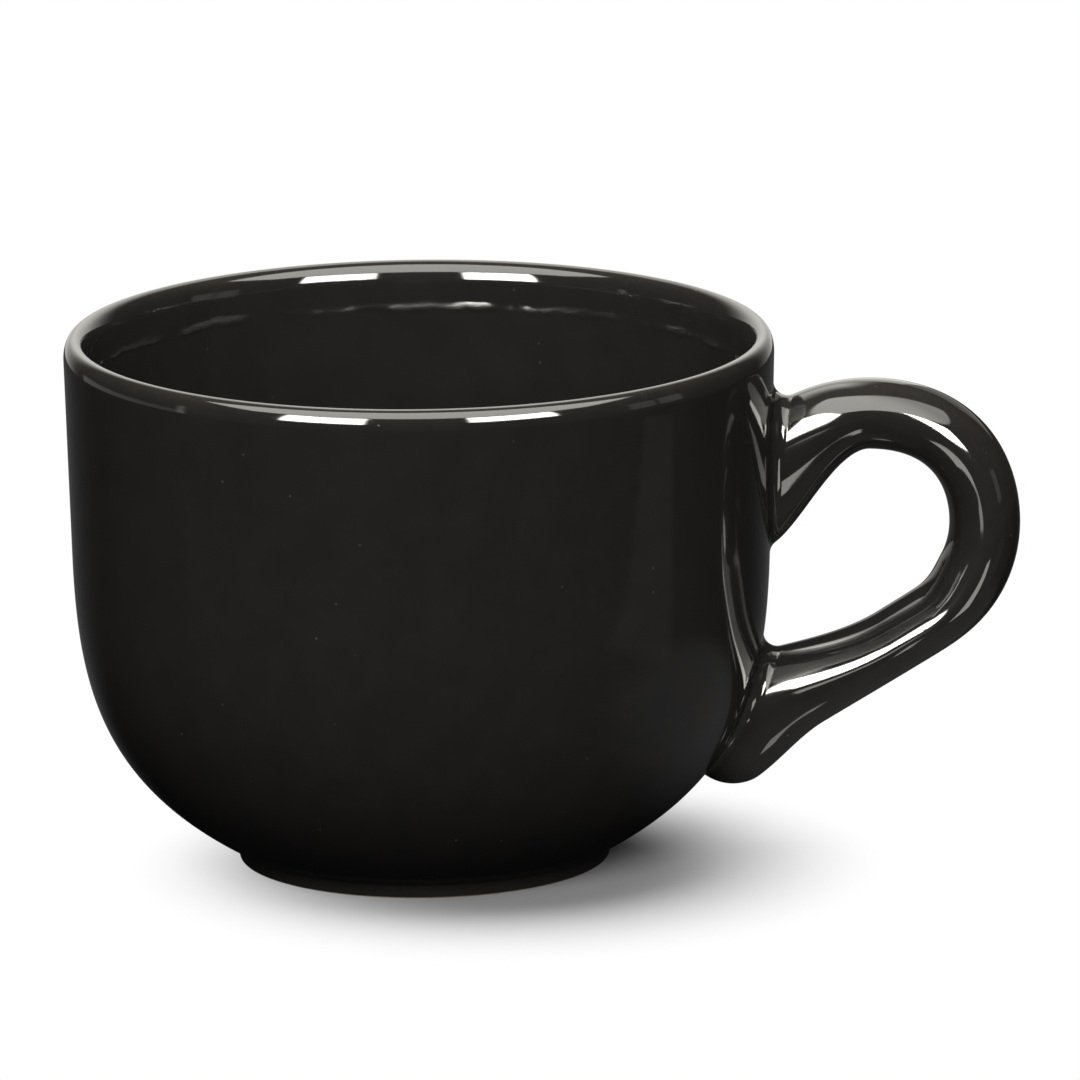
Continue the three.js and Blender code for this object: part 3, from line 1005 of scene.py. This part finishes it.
def link_light(piece, material, receivers):
    """Makes a piece a light that only some pieces mirror."""
    piece.data.materials.append(material)
    piece.light_linking.receiver_collection = receivers
    only_in_reflections(piece)


def light_dome(name, radius, light, material, receivers):
    """A dome whose points hold the light that comes from there."""
    around = np.arange(-180, 180, DOME_STEP)
    up = np.arange(DOME_LOWEST, 90 + DOME_STEP, DOME_STEP)
    azimuth, height = (grid.reshape(-1) for grid in np.meshgrid(around, up))
    places = DOME_MIDDLE + radius * direction(azimuth, height)
    dome = new_piece(name, places, ring_faces(len(up), len(around)))
    mark(dome, "light", light(azimuth, height))
    link_light(dome, material, receivers)


def painted_shade_and_glow():
    """Almost black and seen only by reflections and matt surfaces, so it paints shade under the mug where it
    hides the pale floor. It also carries painted reflections of a pane and of the far side, and a painted
    glow of the pale floor by the handle, which lights matt surfaces and shows in reflections.
    """
    material = new_material("painted_shade_and_glow")
    tree = material.node_tree
    place = add(tree, "ShaderNodeTexCoord").outputs["Object"]
    x, y, _ = add(tree, "ShaderNodeSeparateXYZ", {"Vector": place}).outputs
    away = add(tree, "ShaderNodeVectorMath", {0: place, 1: GLOW_MIDDLE}, operation="DISTANCE")
    aside = add(tree, "ShaderNodeMath", {0: x}, operation="ABSOLUTE")
    beside = add(tree, "ShaderNodeMath", {
        0: aside.outputs["Value"], 1: FAR_SIDE_HALF_WIDTH,
    }, operation="SUBTRACT")
    clear = add(tree, "ShaderNodeMath", {0: beside.outputs["Value"], 1: 0.0}, operation="MAXIMUM")
    fan = add(tree, "ShaderNodeMath", {0: clear.outputs["Value"], 1: y}, operation="ARCTAN2")
    soft = {}
    for name, value, (none, full) in (
        ("left", x, PANE_LEFT), ("right", x, PANE_RIGHT), ("near", y, PANE_NEAR), ("far", y, PANE_FAR),
        ("fan", fan.outputs["Value"], FAR_SIDE_FAN), ("start", y, FAR_SIDE_START),
        ("glow", away.outputs["Value"], GLOW_REACH),
    ):
        soft[name] = add(tree, "ShaderNodeMapRange", {
            "Value": value, "From Min": none, "From Max": full,
        }, interpolation_type="SMOOTHSTEP").outputs["Result"]
    rays = add(tree, "ShaderNodeLightPath")
    glossy, matt = rays.outputs["Is Glossy Ray"], rays.outputs["Is Diffuse Ray"]
    facing = add(tree, "ShaderNodeNewGeometry")
    above = add(tree, "ShaderNodeMath", {0: 1.0, 1: facing.outputs["Backfacing"]}, operation="SUBTRACT")
    strength = SHADE_SHEET_BASE
    for light, *shares, rest in (
        (PANE, soft["left"], soft["right"], soft["near"], soft["far"], glossy),
        (FAR_SIDE, soft["fan"], soft["start"], glossy),
        (GLOW_MIRRORED, soft["glow"], glossy),
        (GLOW_BOUNCE, soft["glow"], above.outputs["Value"], matt),
    ):
        for share in shares:
            light = add(tree, "ShaderNodeMath", {0: light, 1: share}, operation="MULTIPLY").outputs["Value"]
        strength = add(tree, "ShaderNodeMath", {
            0: light, 1: rest, 2: strength,
        }, operation="MULTIPLY_ADD").outputs["Value"]
    emission = add(tree, "ShaderNodeEmission", {"Strength": strength})
    add(tree, "ShaderNodeOutputMaterial", {"Surface": emission.outputs["Emission"]})
    return material


def square(name, reach):
    corners = [(-reach, -reach, 0), (reach, -reach, 0), (reach, reach, 0), (-reach, reach, 0)]
    return new_piece(name, corners, [(0, 1, 2, 3)])


def gather(name, *pieces):
    """A collection of the pieces that have been built."""
    group = bpy.data.collections.new(name)
    for piece in pieces:
        if piece in bpy.data.objects:
            group.objects.link(bpy.data.objects[piece])
    return group


def seen_white(tree):
    """1 for the rays that show the white ground and 0 for those that light the mug."""
    rays = add(tree, "ShaderNodeLightPath")
    seen = add(tree, "ShaderNodeMath", {
        0: rays.outputs["Is Camera Ray"], 1: rays.outputs["Is Glossy Ray"],
    }, operation="MAXIMUM")
    shown = add(tree, "ShaderNodeMath", {
        0: seen.outputs["Value"], 1: rays.outputs["Is Transmission Ray"],
    }, operation="MAXIMUM")
    return shown.outputs["Value"]


def soft_lamp(name, place, width, power):
    lamp = bpy.data.lights.new(name, "AREA")
    lamp.shape, lamp.size, lamp.energy = "DISK", width, power
    holder = bpy.data.objects.new(name, lamp)
    holder.location = place
    holder.rotation_euler = (Vector(LAMP_AIM) - Vector(place)).to_track_quat("-Z", "Y").to_euler()
    holder.visible_glossy = False
    bpy.context.scene.collection.objects.link(holder)


class MUG_OT_stage(bpy.types.Operator):
    """Set the pale floor, the studio light and the camera"""

    bl_idname = "mug.stage"
    bl_label = "Studio"

    def execute(self, context):
        look = context.scene.mug_stage
        self.floor(look)
        self.world(context.scene, look)
        self.lamps(look)
        self.cards()
        self.camera(context.scene)
        context.scene.view_settings.view_transform = "Standard"
        return {"FINISHED"}

    def floor(self, look):
        """A pale sheet that keeps the mug's shadow and is white further off."""
        floor = square("floor", STAGE_REACH)
        material = new_material("pale_floor")
        tree = material.node_tree
        place = add(tree, "ShaderNodeTexCoord").outputs["Object"]
        away = add(tree, "ShaderNodeVectorMath", {0: place, 1: SHADE_MIDDLE}, operation="DISTANCE")
        beyond = add(tree, "ShaderNodeMapRange", {
            "Value": away.outputs["Value"], "From Min": SHADE_REACH[0], "From Max": SHADE_REACH[1],
        }, interpolation_type="SMOOTHSTEP")
        white = add(tree, "ShaderNodeMath", {
            0: beyond.outputs["Result"], 1: seen_white(tree),
        }, operation="MULTIPLY")
        paper = add(tree, "ShaderNodeBsdfDiffuse", {"Color": opaque(look.floor)})
        light = add(tree, "ShaderNodeEmission", {"Strength": 1.0})
        sheet = add(tree, "ShaderNodeMixShader", {
            0: white.outputs["Value"], 1: paper.outputs["BSDF"], 2: light.outputs["Emission"],
        })
        add(tree, "ShaderNodeOutputMaterial", {"Surface": sheet.outputs["Shader"]})
        floor.data.materials.append(material)

    def world(self, scene, look):
        """White to the eye and in reflections, and a plain level of light on the mug."""
        world = bpy.data.worlds.new("studio")
        scene.world = world
        world.use_nodes = True
        tree = world.node_tree
        tree.nodes.clear()
        level = add(tree, "ShaderNodeMapRange", {
            "Value": seen_white(tree), "To Min": look.daylight, "To Max": 1.0,
        })
        sky = add(tree, "ShaderNodeBackground", {"Strength": level.outputs["Result"]})
        add(tree, "ShaderNodeOutputWorld", {"Surface": sky.outputs["Background"]})

    def lamps(self, look):
        soft_lamp("key_lamp", KEY_PLACE, KEY_WIDTH, look.key_power)
        soft_lamp("front_lamp", FRONT_PLACE, FRONT_WIDTH, look.front_power)

    def cards(self):
        """Dim surroundings that keep the glaze black, a sheet of painted shade under the mug, and the lights
        that draw its shine.
        """
        bowl = gather("bowl_only", "glazed_bowl")
        handle = gather("handle_and_slip", "loop_handle", "upper_slip_fillet", "lower_slip_fillet")
        light_dome("bowl_dome", BOWL_DOME_RADIUS, bowl_light, studio_light("bowl_studio", clear=False), bowl)
        light_dome("handle_dome", HANDLE_DOME_RADIUS, handle_light, studio_light("handle_studio"), handle)
        # A dark sheet just over the floor that only reflections and matt surfaces see: painted shade under
        # the mug, with painted reflections and a painted glow.
        sheet = square("dark_sheet", SHADE_SHEET_REACH)
        sheet.location = (AXIS_X, 0, SHADE_SHEET_HEIGHT)
        sheet.data.materials.append(painted_shade_and_glow())
        only_in_reflections(sheet)
        sheet.visible_diffuse = True
        for name, (place, corners, strength) in HANDLE_PANELS.items():
            panel = new_piece(name, [place(*corner) for corner in corners], [range(len(corners))])
            link_light(panel, studio_light(name + "_light", strength), handle)

    def camera(self, scene):
        """A long lens at the photograph's viewing angle."""
        data = bpy.data.cameras.new("camera")
        data.sensor_width = CAMERA_SENSOR
        data.lens = CAMERA_LENS
        data.clip_end = CAMERA_SEES_TO
        camera = bpy.data.objects.new("camera", data)
        tilt = Matrix.Rotation(math.pi / 2 - CAMERA_LOOKS_DOWN, 4, "X")
        roll = Matrix.Rotation(CAMERA_ROLL, 4, "Z")
        camera.matrix_world = Matrix.Translation(CAMERA_PLACE) @ tilt @ roll
        scene.collection.objects.link(camera)
        scene.camera = camera


# Sidebar panel and registration

class MUG_PT_parts(bpy.types.Panel):
    """Sizes, colours and pieces of the mug"""

    bl_idname = "MUG_PT_parts"
    bl_label = "Latte Mug"
    bl_space_type = "VIEW_3D"
    bl_region_type = "UI"
    bl_category = "Latte Mug"

    def draw(self, context):
        for group in (context.scene.mug_sizes, context.scene.mug_colours, context.scene.mug_stage):
            box = self.layout.box()
            for name in group.__annotations__:
                box.prop(group, name)
        for operator in OPERATORS:
            self.layout.operator(operator.bl_idname)


GROUPS = {"mug_sizes": MugSizes, "mug_colours": MugColours, "mug_stage": StageLook}
OPERATORS = (MUG_OT_bowl, MUG_OT_handle, MUG_OT_fillets, MUG_OT_stage)


def register():
    for cls in (*GROUPS.values(), *OPERATORS, MUG_PT_parts):
        bpy.utils.register_class(cls)
    for name, group in GROUPS.items():
        setattr(bpy.types.Scene, name, PointerProperty(type=group))


def unregister():
    for name in GROUPS:
        delattr(bpy.types.Scene, name)
    for cls in reversed((*GROUPS.values(), *OPERATORS, MUG_PT_parts)):
        bpy.utils.unregister_class(cls)


def main():
    register()
    bpy.ops.mug.bowl()
    bpy.ops.mug.handle()
    bpy.ops.mug.fillets()
    bpy.ops.mug.stage()


if __name__ == "__main__":
    main()
